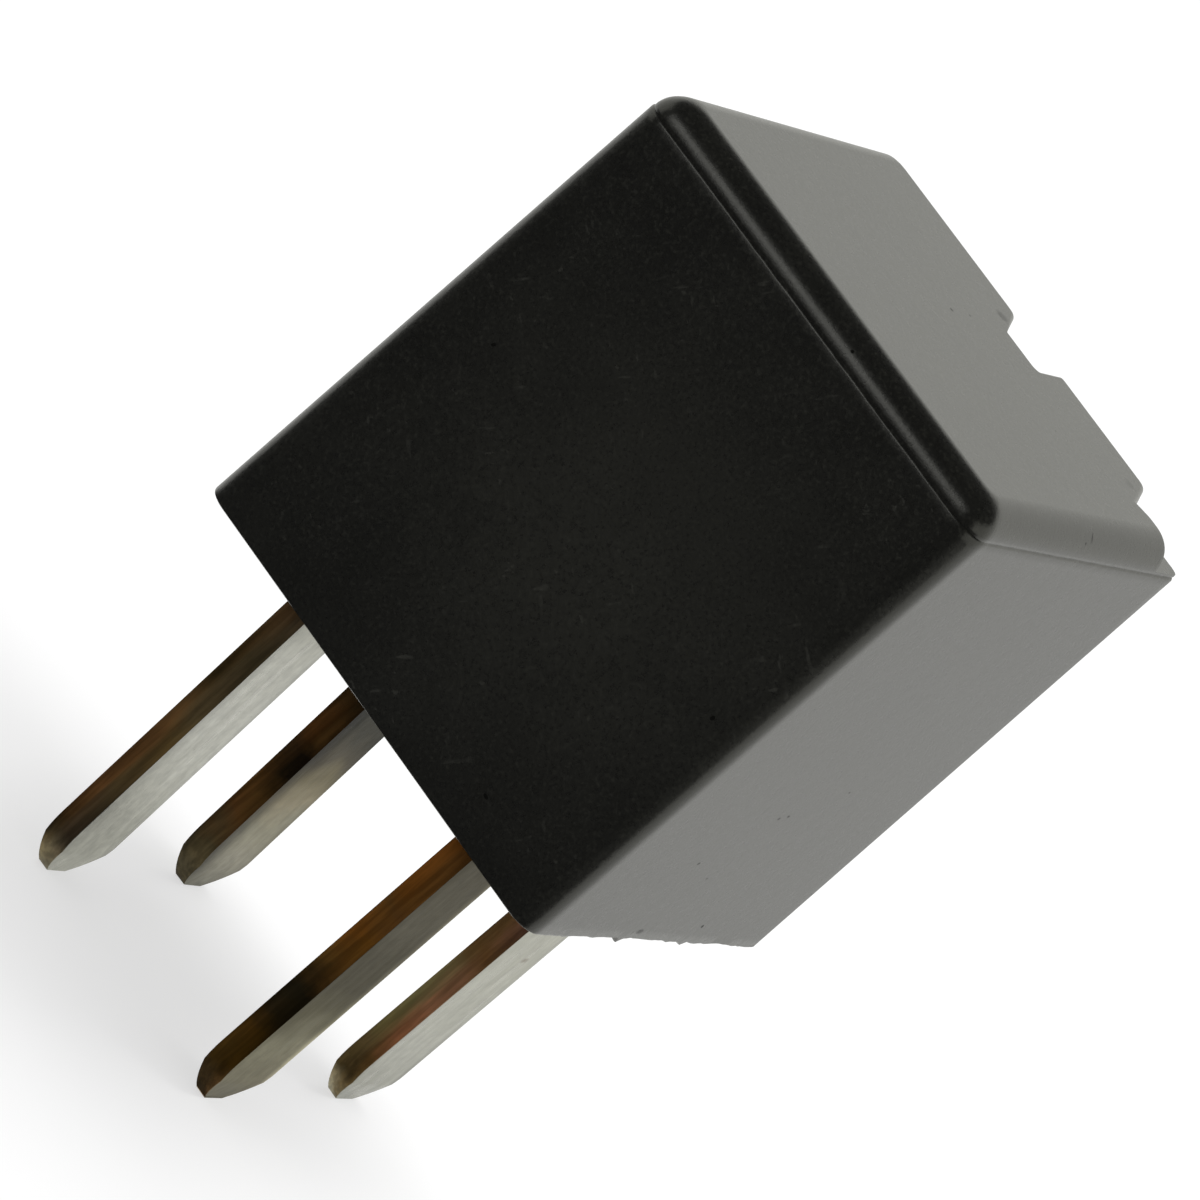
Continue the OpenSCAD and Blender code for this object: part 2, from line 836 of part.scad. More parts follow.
// Plan of the armature: its front corners are cut back to a nose
module armature_plan() {
    nose_w = 4.2;
    bevel = 1.8;
    polygon([
        [-armature_w / 2 - cut, yoke_back + cut],
        [-armature_w / 2 - cut, armature_front + bevel],
        [-armature_w / 2, armature_front + bevel],
        [-nose_w / 2, armature_front - 0.01],
        [nose_w / 2, armature_front - 0.01],
        [armature_w / 2, armature_front + bevel],
        [armature_w / 2 + cut, armature_front + bevel],
        [armature_w / 2 + cut, yoke_back + cut]
    ]);
}

// Path of the leaf in the YZ plane: up the yoke's back, over the hinge, down to the armature
leaf_back = yoke_back + leaf_t / 2;
leaf_drop = 4.9;    // its lower end below the pole's face
leaf_rise = 1.9;    // where it leaves the yoke
loop_out = 0.3;     // how far its loop stands off the yoke
loop_up = 0.75;     // height of the loop's crown over the armature
loop_in = 1.1;      // crown in front of the hinge
soft = 0.7;         // length of the curves' handles
leaf_low_z = pole_face_z - leaf_drop;
leaf_start = [leaf_back, pole_face_z - leaf_rise];
leaf_out = [yoke_back + loop_out, armature_top - soft - 0.1];
leaf_crown = [hinge_y - loop_in, armature_top + loop_up];
leaf_land_y = rivet_y + rivet_head_d / 2 + 0.35;
leaf_land = released([leaf_land_y, armature_top + leaf_t / 2]);
leaf_tip = released([leaf_end, armature_top + leaf_t / 2]);
forward = [-cos(swing), sin(swing)];
leaf_path = concat(
    [[leaf_back, leaf_low_z]],
    bezier(leaf_start, leaf_start + [0, soft], leaf_out - [0, soft], leaf_out),
    rest(bezier(leaf_out, leaf_out + [0, soft], leaf_crown + [soft, 0], leaf_crown)),
    rest(bezier(leaf_crown, leaf_crown - [soft, 0], leaf_land - soft * forward, leaf_land)),
    [leaf_tip]
);
yoke_rivet_z = leaf_low_z + rivet_head_d / 2 + 0.45;

// Plan of the leaf: wide at the yoke and the armature, drawn in to a round end at the contact
module leaf_plan() {
    waist_y = rivet_y - 1.3;
    arm_y = waist_y - 1.6;
    union() {
        polygon([
            [-leaf_w / 2, room_y],
            [-leaf_w / 2, waist_y],
            [-leaf_front_w / 2, arm_y],
            [-leaf_front_w / 2, contact_y],
            [leaf_front_w / 2, contact_y],
            [leaf_front_w / 2, arm_y],
            [leaf_w / 2, waist_y],
            [leaf_w / 2, room_y]
        ]);
        translate([0, contact_y]) circle(leaf_front_w / 2);
    }
}

module contact_spring() {
    color(bronze)
        difference() {
            intersection() {
                along_x(-leaf_w / 2, leaf_w) polygon(band(leaf_path, leaf_t));
                translate([0, 0, leaf_low_z - cut]) linear_extrude(case_h) leaf_plan();
            }
            for (sx = [-1, 1]) {
                translate([sx * rivet_x, yoke_back + cut, yoke_rivet_z]) rotate([90, 0, 0])
                    cylinder(d = rivet_d, h = 2 * cut);
            }
            at_release() {
                for (sx = [-1, 1]) {
                    translate([sx * rivet_x, rivet_y, armature_top - cut])
                        cylinder(d = rivet_d, h = 2 * cut);
                }
                translate([0, contact_y, armature_top - cut]) cylinder(d = shank_d, h = 2 * cut);
            }
        }
}

module armature_rivets() {
    color(iron)
        at_release()
            for (sx = [-1, 1]) {
                translate([sx * rivet_x, rivet_y, armature_z])
                    cylinder(d = rivet_d, h = armature_t + leaf_t);
                translate([sx * rivet_x, rivet_y, leaf_top])
                    cylinder(d1 = rivet_head_d, d2 = rivet_head_d - 0.4, h = rivet_head_t);
            }
}

module yoke_rivets() {
    color(iron)
        for (sx = [-1, 1]) {
            translate([sx * rivet_x, yoke_front, yoke_rivet_z])
                rotate([-90, 0, 0])
                    union() {
                        cylinder(d = rivet_d, h = yoke_t + leaf_t);
                        translate([0, 0, yoke_t + leaf_t])
                            cylinder(d1 = rivet_head_d, d2 = rivet_head_d - 0.4, h = rivet_head_t);
                    }
        }
}

// ---- contacts ----

module moving_contact() {
    color(silver)
        at_release()
            translate([0, contact_y, armature_top])
                union() {
                    translate([0, 0, -contact_t]) cylinder(d = moving_d, h = contact_t);
                    cylinder(d = shank_d, h = leaf_t);
                    translate([0, 0, leaf_t]) cylinder(d = upset_d, h = upset_t);
                }
}

module fixed_contact() {
    color(silver)
        translate([0, contact_y, 0])
            union() {
                translate([0, 0, tab_top]) cylinder(d = fixed_d, h = contact_t);
                translate([0, 0, tab_z]) cylinder(d = shank_d, h = strip_t);
                translate([0, 0, tab_z - upset_t]) cylinder(d = upset_d, h = upset_t);
            }
}

// Strip along the front wall, pressed in the base, folded back over the leaf's end
module back_stop() {
    top_z = stop_z + stop_t;
    hook_back = contact_y + stop_over + 0.1;
    color(iron)
        union() {
            translate([stop_left, stop_front, base_top - stop_foot])
                cube([stop_w, stop_t, top_z - base_top + stop_foot]);
            translate([0, 0, stop_z])
                linear_extrude(stop_t)
                    polygon([
                        [stop_left, stop_front],
                        [stop_left + stop_w, stop_front],
                        [stop_left + stop_w + 0.6, stop_front + 0.6],
                        [stop_over, stop_front + 0.6],
                        [stop_over, hook_back],
                        [stop_left, hook_back]
                    ]);
        }
}

// ---- suppression ----

resistor_y = (lead_front_y + lead_rear_y) / 2;

// Barrel with slightly fuller ends over its caps
module suppression_resistor() {
    cap_l = 0.8;
    waist_d = resistor_d - 0.2;
    round_r = 0.25;
    color(blue_lacquer)
        difference() {
            translate([lead_x, resistor_y, resistor_z])
                rotate([-90, 0, 0])
                    rotate_extrude()
                        union() {
                            translate([0, -resistor_l / 2]) square([waist_d / 2, resistor_l]);
                            for (s = [-1, 1]) {
                                intersection() {
                                    translate([0, s * (resistor_l - cap_l) / 2 - cap_l / 2])
                                        square([resistor_d / 2, cap_l]);
                                    translate([resistor_d / 2 - cap_l / 2, s * (resistor_l - cap_l) / 2])
                                        union() {
                                            circle(cap_l / 2);
                                            translate([-resistor_d, -cap_l / 2])
                                                square([resistor_d, cap_l]);
                                        }
                                }
                            }
                        }
            for (s = [-1, 1]) {
                translate([lead_x, resistor_y + s * (resistor_l / 2 - 0.4), resistor_z])
                    rotate([-s * 90, 0, 0])
                        cylinder(d = lead_d, h = cap_l);
            }
        }
}

// One bent wire: out of the barrel's end, round a bend and down into the flag's hole
module resistor_lead(lead_y, s) {
    start = resistor_y + s * (resistor_l / 2 - 0.4);
    straight = abs(lead_y - start) - lead_bend;
    union() {
        translate([lead_x, start, resistor_z])
            rotate([-s * 90, 0, 0])
                cylinder(d = lead_d, h = straight);
        translate([lead_x, lead_y - s * lead_bend, resistor_z - lead_bend])
            rotate([90, 0, s * 90])
                rotate_extrude(angle = 90)
                    translate([lead_bend, 0]) circle(d = lead_d, $fn = 24);
        translate([lead_x, lead_y, base_top])
            cylinder(d = lead_d, h = resistor_z - lead_bend - base_top);
    }
}

module resistor_leads() {
    color(tin) {
        resistor_lead(lead_front_y, -1);
        resistor_lead(lead_rear_y, 1);
    }
}

// Fillets of solder round the pins and the wires, on top of the flags
module solder_joints() {
    solder_h = 0.28;
    flag_top = base_top + strip_t;
    color(silver)
        difference() {
            union() {
                for (y = [pin_front_y, pin_rear_y]) {
                    translate([pin_x, y, flag_top])
                        cylinder(d1 = pin_w + 0.5, d2 = pin_w + 0.22, h = solder_h);
                }
                for (y = [lead_front_y, lead_rear_y]) {
                    translate([lead_x, y, flag_top])
                        cylinder(d1 = lead_d + 0.6, d2 = lead_d + 0.1, h = solder_h);
                }
            }
            for (y = [pin_front_y, pin_rear_y]) {
                translate([pin_x - pin_w / 2, y - pin_w / 2, flag_top - cut])
                    cube([pin_w, pin_w, solder_h + 2 * cut]);
            }
            for (y = [lead_front_y, lead_rear_y]) {
                translate([lead_x, y, flag_top - cut]) cylinder(d = lead_d, h = solder_h + 2 * cut);
            }
        }
}

cover();
base();
base_seal();
terminal_30();
terminal_87();
terminal_85();
terminal_86();
bobbin();
coil_winding();
core();
yoke();
armature();
contact_spring();
armature_rivets();
yoke_rivets();
moving_contact();
fixed_contact();
back_stop();
coil_pin_start();
coil_pin_end();
suppression_resistor();
resistor_leads();
solder_joints();
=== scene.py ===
import math

import bmesh
import bpy
from mathutils import Matrix, Vector, noise


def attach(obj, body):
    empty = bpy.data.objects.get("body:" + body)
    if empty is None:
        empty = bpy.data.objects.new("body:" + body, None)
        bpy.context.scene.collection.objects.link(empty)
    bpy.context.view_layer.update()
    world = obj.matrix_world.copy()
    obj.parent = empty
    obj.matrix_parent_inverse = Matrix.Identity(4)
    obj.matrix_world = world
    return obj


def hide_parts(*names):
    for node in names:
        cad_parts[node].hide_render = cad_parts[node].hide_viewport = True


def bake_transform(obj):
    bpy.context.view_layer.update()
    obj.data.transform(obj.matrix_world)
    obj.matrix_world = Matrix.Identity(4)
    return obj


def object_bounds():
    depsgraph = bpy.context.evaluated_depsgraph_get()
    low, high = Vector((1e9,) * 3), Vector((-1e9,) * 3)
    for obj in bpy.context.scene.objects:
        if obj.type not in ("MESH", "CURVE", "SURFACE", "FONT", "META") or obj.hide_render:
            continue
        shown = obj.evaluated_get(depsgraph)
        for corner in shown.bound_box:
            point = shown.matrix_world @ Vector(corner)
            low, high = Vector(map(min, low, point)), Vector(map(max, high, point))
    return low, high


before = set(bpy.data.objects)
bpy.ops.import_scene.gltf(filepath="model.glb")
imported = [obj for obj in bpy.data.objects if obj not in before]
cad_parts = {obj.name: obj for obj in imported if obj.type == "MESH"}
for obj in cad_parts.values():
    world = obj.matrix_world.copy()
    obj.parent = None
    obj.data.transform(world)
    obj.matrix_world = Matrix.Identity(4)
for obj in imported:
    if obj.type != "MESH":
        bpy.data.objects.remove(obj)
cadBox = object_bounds()
mm = 0.001


def newPiece(name, points, faces, material, body):
    mesh = bpy.data.meshes.new(name)
    mesh.from_pydata([Vector(p) * mm for p in points], [], faces)
    work = bmesh.new()
    work.from_mesh(mesh)
    bmesh.ops.remove_doubles(work, verts=work.verts, dist=0.002 * mm)
    bmesh.ops.dissolve_degenerate(work, edges=work.edges, dist=0.001 * mm)
    bmesh.ops.recalc_face_normals(work, faces=work.faces)
    work.to_mesh(mesh)
    work.free()
    mesh.materials.append(material)
    mesh.shade_smooth()
    piece = bpy.data.objects.new(name, mesh)
    bpy.context.scene.collection.objects.link(piece)
    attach(piece, body)
    return piece


def evenShading(piece):
    weighted = piece.modifiers.new("evenShading", "WEIGHTED_NORMAL")
    weighted.keep_sharp = True
    weighted.weight = 80


def softEdges(piece, width, segments, angle=32):
    bevel = piece.modifiers.new("softEdges", "BEVEL")
    bevel.width = width * mm
    bevel.segments = segments
    bevel.limit_method = "ANGLE"
    bevel.angle_limit = math.radians(angle)
    bevel.use_clamp_overlap = True
    bevel.harden_normals = False
    evenShading(piece)


def copyOfNode(nodeName, newName, material, body):
    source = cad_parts[nodeName]
    mesh = source.data.copy()
    mesh.name = newName
    work = bmesh.new()
    work.from_mesh(mesh)
    bmesh.ops.remove_doubles(work, verts=work.verts, dist=0.001 * mm)
    flat = math.radians(0.6)
    bmesh.ops.dissolve_limit(work, angle_limit=flat, verts=work.verts, edges=work.edges)
    work.to_mesh(mesh)
    work.free()
    mesh.materials.clear()
    mesh.materials.append(material)
    mesh.shade_smooth()
    piece = bpy.data.objects.new(newName, mesh)
    bpy.context.scene.collection.objects.link(piece)
    if body:
        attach(piece, body)
    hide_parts(nodeName)
    return piece


class Finish:
    # a material with its shader at hand; scales are in features per millimetre

    def __init__(self, name, roughness=0.5, metallic=0.0, ior=1.5):
        self.material = bpy.data.materials.new(name)
        self.material.use_nodes = True
        self.nodes = self.material.node_tree.nodes
        self.links = self.material.node_tree.links
        self.shader = self.nodes["Principled BSDF"]
        self.shader.inputs["Roughness"].default_value = roughness
        self.shader.inputs["Metallic"].default_value = metallic
        self.shader.inputs["IOR"].default_value = ior
        self.place = self.nodes.new("ShaderNodeTexCoord").outputs["Object"]
        self.facing = self.nodes.new("ShaderNodeTexCoord").outputs["Normal"]

    def link(self, output, target):
        self.links.new(output, target)

    def stretched(self, along, turn):
        mapping = self.nodes.new("ShaderNodeMapping")
        mapping.vector_type = "TEXTURE"
        mapping.inputs["Scale"].default_value = [1 / a for a in along]
        mapping.inputs["Rotation"].default_value = [math.radians(a) for a in turn]
        self.link(self.place, mapping.inputs["Vector"])
        return mapping.outputs["Vector"]

    def noise(self, perMm, detail=4, along=None, turn=(0, 0, 0), rough=0.5):
        node = self.nodes.new("ShaderNodeTexNoise")
        node.inputs["Scale"].default_value = perMm / mm
        node.inputs["Detail"].default_value = detail
        node.inputs["Roughness"].default_value = rough
        self.link(self.stretched(along, turn) if along else self.place, node.inputs["Vector"])
        return node.outputs["Fac"]

    def ramp(self, value, low, high, start=0.0, end=1.0):
        node = self.nodes.new("ShaderNodeMapRange")
        node.interpolation_type = "SMOOTHSTEP"
        node.inputs["From Min"].default_value = low
        node.inputs["From Max"].default_value = high
        node.inputs["To Min"].default_value = start
        node.inputs["To Max"].default_value = end
        self.link(value, node.inputs["Value"])
        return node.outputs["Result"]

    def maths(self, operation, a, b=None):
        node = self.nodes.new("ShaderNodeMath")
        node.operation = operation
        for socket, value in zip(node.inputs, (a, b)):
            if value is None:
                continue
            if isinstance(value, (int, float)):
                socket.default_value = value
            else:
                self.link(value, socket)
        return node.outputs[0]

    def axis(self, vector, letter):
        node = self.nodes.new("ShaderNodeSeparateXYZ")
        self.link(vector, node.inputs[0])
        return node.outputs[letter]

    def mix(self, share, a, b):
        node = self.nodes.new("ShaderNodeMix")
        node.data_type = "RGBA"
        for socket, value in zip((node.inputs[0], node.inputs[6], node.inputs[7]), (share, a, b)):
            if isinstance(value, (int, float)):
                socket.default_value = value
            elif isinstance(value, (tuple, list)):
                socket.default_value = (*value[:3], 1.0)
            else:
                self.link(value, socket)
        return node.outputs[2]

    def bands(self, height, stops):
        # colours at heights in millimetres, blended along Z
        low, high = min(stops)[0], max(stops)[0]
        place = self.nodes.new("ShaderNodeMapRange")
        place.inputs["From Min"].default_value = low * mm
        place.inputs["From Max"].default_value = high * mm
        self.link(height, place.inputs["Value"])
        node = self.nodes.new("ShaderNodeValToRGB")
        ramp = node.color_ramp
        ordered = sorted(stops)
        while len(ramp.elements) < len(ordered):
            ramp.elements.new(0.5)
        for element, (at, tone) in zip(ramp.elements, ordered):
            element.position = (at - low) / (high - low)
            element.color = (*tone, 1)
        self.link(place.outputs["Result"], node.inputs["Fac"])
        return node.outputs["Color"]

    def scaled(self, tone, factor):
        node = self.nodes.new("ShaderNodeVectorMath")
        node.operation = "SCALE"
        self.link(tone, node.inputs[0])
        self.link(factor, node.inputs["Scale"])
        return node.outputs[0]

    def spot(self, centre, size, edge, wobble=0.0):
        # 1 inside an ellipsoid at centre, in millimetres, fading out over its edge
        shift = self.nodes.new("ShaderNodeVectorMath")
        shift.operation = "SUBTRACT"
        self.link(self.place, shift.inputs[0])
        shift.inputs[1].default_value = [c * mm for c in centre]
        scale = self.nodes.new("ShaderNodeVectorMath")
        scale.operation = "MULTIPLY"
        self.link(shift.outputs[0], scale.inputs[0])
        scale.inputs[1].default_value = [1 / (s * mm) for s in size]
        length = self.nodes.new("ShaderNodeVectorMath")
        length.operation = "LENGTH"
        self.link(scale.outputs[0], length.inputs[0])
        reach = length.outputs["Value"]
        if wobble:
            uneven = self.maths("MULTIPLY", self.noise(4 / max(size), 3), wobble)
            reach = self.maths("ADD", reach, uneven)
        return self.ramp(reach, 1 + wobble / 2, max(1 + wobble / 2 - edge, 0.01))

    def colour(self, value):
        socket = self.shader.inputs["Base Color"]
        if isinstance(value, (tuple, list)):
            socket.default_value = (*value[:3], 1.0)
        else:
            self.link(value, socket)

    def roughness(self, value):
        self.link(value, self.shader.inputs["Roughness"])

    def bump(self, height, depth):
        node = self.nodes.new("ShaderNodeBump")
        node.inputs["Strength"].default_value = 1.0
        node.inputs["Distance"].default_value = depth * mm
        self.link(height, node.inputs["Height"])
        socket = self.shader.inputs["Normal"]
        if socket.is_linked:
            self.link(socket.links[0].from_socket, node.inputs["Normal"])
        self.link(node.outputs["Normal"], socket)


def grey(level):
    # a sRGB level from 0 to 255 as a linear value
    level = level / 255
    return level / 12.92 if level <= 0.04045 else ((level + 0.055) / 1.055) ** 2.4


def rgb(red, green, blue):
    return grey(red), grey(green), grey(blue)


mouldedCase = {
    "halfWidth": 7.5,          # at the rim
    "halfDepth": 7.45,
    "height": 16.65,
    "sideDraft": 0.42,         # degrees
    "frontDraft": 0.61,
    "topRound": 0.9,
    "frontCornerRound": 0.75,
    "topCornerRound": 0.35,    # front corners of the flat top, seen from above
    "backCornerRound": 0.3,
    "backTopRound": 0.3,
    "notchFloorY": 5.32,
    "notchBottomZ": 15.86,
    "notchLean": 22,
    "centreFloor": (-0.28, 0.96),
    "cornerFloorX": 5.76,
    "cornerFloorRise": 0.3,    # the corner notch's floor falls back by this
    "cornerFloorRun": 0.55,    # within this much of its width
    "notchOpening": 0.6,       # share by which the notches widen with the top's rounding
    "seamDepth": 0.03,
    "seamStep": 0.03,
    "seamLip": 0.018,          # how far the seam's lower lip draws in, and how far it wanders
    "skirtWall": 0.65,
    "wall": 0.75,
    "baseTop": 2.6,
    "roofInside": 15.75,
    "lowRoofInside": 15.0,
    "insideRound": 0.5,
    "wallHeights": (0.5, 2.5, 8.0, 13.5),
    "rimBurrs": ((-1.6, 0.16, 0.07), (2.42, 0.2, 0.1), (4.9, -0.07, 0.5)),   # place, drop, width
    "rimRise": 0.1,            # the worn right rim climbs by this towards the back
    "rimWaves": (0.075, 0.035),
    "topSteps": 13,
    "edgeCuts": (48, 60, 2, 2, 5, 14, 5, 3, 5, 20, 30),   # steps along the edges of every ring
}


blackFinish = {
    "light": rgb(27, 27, 23),
    "dark": rgb(10, 10, 8),
    "grainDark": rgb(8, 8, 7),
    "grainLight": rgb(38, 38, 33),
    "scuff": rgb(74, 74, 68),
    "speck": rgb(7, 7, 6),
    "ior": 1.53,
    "sheenTint": (1.0, 1.0, 0.93),
    "roughness": (0.27, 0.31),
    "paleFront": ((1.5, -7.4, 7.5), (9.5, 12, 9.5)),    # paler over the middle of the front, darker towards its edges
    "scuffRuns": ((10, 35, 0), (0, -62, 20), (80, 0, 35)),    # turn of each set of scratches
    "nicksAndDipShade": (                 # centre, size and strength of single dull marks: the first two are painted shade where the top dips towards the notches' leaning walls, the others are nicks
        ((-0.9, 5.75, 16.65), (0.34, 0.42, 0.12), 0.75),
        ((4.95, 5.85, 16.65), (0.3, 0.42, 0.12), 0.5),
        ((7.1, 0.2, 16.4), (0.2, 0.09, 0.3), 0.8),
        ((7.5, -0.9, 0.45), (0.12, 0.3, 0.16), 0.9),
        ((-1.5, -6.55, 16.6), (0.16, 0.1, 0.1), 0.7)),
}


def blackMoulding():
    look = blackFinish
    finish = Finish("blackMoulding", ior=look["ior"])
    finish.shader.inputs["Specular Tint"].default_value = (*look["sheenTint"], 1)
    cloudy = finish.noise(0.45, 5, rough=0.6)
    grain = finish.noise(9, 3, rough=0.7)
    paleFront = finish.spot(*look["paleFront"], 1.0)
    clouds = finish.ramp(cloudy, 0.3, 0.7, 0, 0.3)
    patch = finish.maths("ADD", finish.maths("MULTIPLY", paleFront, 0.9), clouds)
    colour = finish.mix(patch, look["dark"], look["light"])
    colour = finish.mix(finish.ramp(grain, 0.5, 0.3, 0, 0.6), colour, look["grainDark"])
    colour = finish.mix(finish.ramp(grain, 0.5, 0.72, 0, 0.55), colour, look["grainLight"])
    worn = finish.ramp(cloudy, 0.46, 0.62)
    for turn in look["scuffRuns"]:
        scratch = finish.ramp(finish.noise(4.2, 2, along=(1, 1, 0.05), turn=turn), 0.68, 0.74)
        scratch = finish.maths("MULTIPLY", scratch, worn)
        colour = finish.mix(finish.maths("MULTIPLY", scratch, 0.18), colour, look["scuff"])
    flecks = finish.ramp(finish.noise(5.5, 2, rough=0.7), 0.72, 0.8)
    flecks = finish.maths("MULTIPLY", flecks, worn)
    colour = finish.mix(finish.maths("MULTIPLY", flecks, 0.35), colour, look["scuff"])
    specks = finish.ramp(finish.noise(2.6, 1), 0.19, 0.17)
    colour = finish.mix(finish.maths("MULTIPLY", specks, 0.8), colour, look["speck"])
    dullAndShaded = specks
    # the specular level drops on the specks and the marks; on the first two marks this is painted
    # shade of the top's dips beside the notches
    for centre, size, strength in look["nicksAndDipShade"]:
        mark = finish.spot(centre, size, 0.7, 0.4)
        dullAndShaded = finish.maths("MAXIMUM", dullAndShaded, finish.maths("MULTIPLY", mark, strength))
    finish.link(finish.ramp(dullAndShaded, 0, 1, 0.5, 0.08), finish.shader.inputs["Specular IOR Level"])
    finish.colour(colour)
    rough = finish.ramp(grain, 0.3, 0.7, *look["roughness"])
    finish.roughness(finish.maths("ADD", rough, finish.maths("MULTIPLY", specks, 0.3)))
    finish.bump(grain, 0.005)
    finish.bump(finish.noise(1.6, 3), 0.004)
    return finish.material


def roundedRing(corners, z, steps=6):
    # corners: x, y and radius; all rings have as many points, so that they join
    arcs = []
    count = len(corners)
    for i, (x, y, radius) in enumerate(corners):
        here = Vector((x, y))
        before = (Vector(corners[i - 1][:2]) - here).normalized()
        after = (Vector(corners[(i + 1) % count][:2]) - here).normalized()
        half = max(before.angle(after, math.pi) / 2, 0.01)
        if half > math.radians(88):
            arc = [here + before * radius * (1 - 2 * k / steps) if k * 2 < steps
                   else here + after * radius * (2 * k / steps - 1) for k in range(steps + 1)]
        else:
            reach = radius / math.tan(half)
            centre = here + (before + after).normalized() * radius / math.sin(half)
            start = here + before * reach - centre
            end = here + after * reach - centre
            turn = start.angle_signed(end)
            arc = []
            for k in range(steps + 1):
                spin = Matrix.Rotation(-turn * k / steps, 2)
                arc.append(centre + spin @ start)
        arcs.append(arc)
    points = []
    for i, (arc, cuts) in enumerate(zip(arcs, mouldedCase["edgeCuts"])):
        points += arc
        nextStart = arcs[(i + 1) % count][0]
        for k in range(1, cuts):
            points.append(arc[-1].lerp(nextStart, k / cuts))
    return [(p.x, p.y, z) for p in points]


def caseRing(z, notched, extraInset=0.0):
    c = mouldedCase
    parting = c["height"] - c["topRound"]
    up = max(z - parting, 0.0)
    inset = c["topRound"] - math.sqrt(max(c["topRound"] ** 2 - up ** 2, 0)) + extraInset
    backUp = max(z - (c["height"] - c["backTopRound"]), 0.0)
    backRound = c["backTopRound"]
    backInset = backRound - math.sqrt(max(backRound ** 2 - backUp ** 2, 0)) + extraInset
    if up > 0:
        inset += c["seamStep"]
        backInset += c["seamStep"]
    w = c["halfWidth"] - math.tan(math.radians(c["sideDraft"])) * min(z, parting) - inset
    front = -(c["halfDepth"] - math.tan(math.radians(c["frontDraft"])) * min(z, parting) - inset)
    back = c["halfDepth"] - math.tan(math.radians(c["frontDraft"])) * min(z, parting) - backInset
    share = min(inset / c["topRound"], 1.0)
    frontR = c["frontCornerRound"] + (c["topCornerRound"] - c["frontCornerRound"]) * share
    lean = math.tan(math.radians(c["notchLean"]))
    ease = backInset * c["notchOpening"] if notched else 0.0
    floorY = c["notchFloorY"] - ease
    left, right = c["centreFloor"]
    right += ease
    farLeft = left - ease - lean * (back - floorY)
    cornerX = c["cornerFloorX"] - ease
    cornerLeft = cornerX - lean * (back - floorY)
    sideFloor = floorY + c["cornerFloorRise"]
    if notched:
        backEdge = [
            (cornerX + c["cornerFloorRun"], sideFloor, 0.3), (cornerX, floorY, 0.08),
            (cornerLeft, back, 0.26), (right, back, 0.1),
            (right, floorY, 0.3), (left, floorY, 0.08), (farLeft, back, 0.26)]
    else:
        backEdge = [
            (w, sideFloor + 0.4, 0.3), (w, back, c["backCornerRound"]),
            (cornerLeft, back, 0.1), (right, back, 0.1),
            (right - 0.5, back, 0.15), (left, back, 0.08), (farLeft, back, 0.1)]
    corners = [
        (-w, front, frontR), (w, front, frontR), (w, sideFloor, 0.08),
        *backEdge, (-w, back, c["backCornerRound"])]
    return roundedRing(corners, z)


def plainRing(halfW, front, back, radius, z):
    # a ring of the inner skin, with as many corners as an outer one, so the two join at the rim
    corners = [
        (-halfW, front, radius), (halfW, front, radius), (halfW, back - 2.0, 0.08),
        (halfW, back - 1.4, 0.3), (halfW, back, radius), (4.7, back, 0.1),
        (1.2, back, 0.1), (0.7, back, 0.1), (-0.15, back, 0.08), (-1.1, back, 0.1),
        (-halfW, back, radius)]
    return roundedRing(corners, z)


def ruggedRim(ring, amount=1.0):
    # the mould flash is broken off unevenly along the right side's lower edge
    c = mouldedCase
    worn = []
    for x, y, z in ring:
        if x > c["halfWidth"] - c["skirtWall"] - 0.3 and y > -6.6:
            rise = c["rimRise"] * min(max((y + 5.5) / 4, 0), 1)
            slow, fast = c["rimWaves"]
            rise += slow * noise.noise(Vector((y * 1.7, 2.0, 0.0))) * min(max((y + 6.6) / 2, 0), 1)
            rise += fast * noise.noise(Vector((y * 6.5, 7.0, 0.0)))
            for at, size, width in c["rimBurrs"]:
                rise -= size * math.exp(-((y - at) / width) ** 2)
            z = z + rise * amount
        worn.append((x, y, z))
    return worn


def unevenSeam(ring):
    # the seam's lower lip rises and falls a little where the mould halves met
    wander = mouldedCase["seamLip"]
    return [(x, y, z + wander * noise.noise(Vector((x * 1.9, y * 1.9, 3.0)))) for x, y, z in ring]


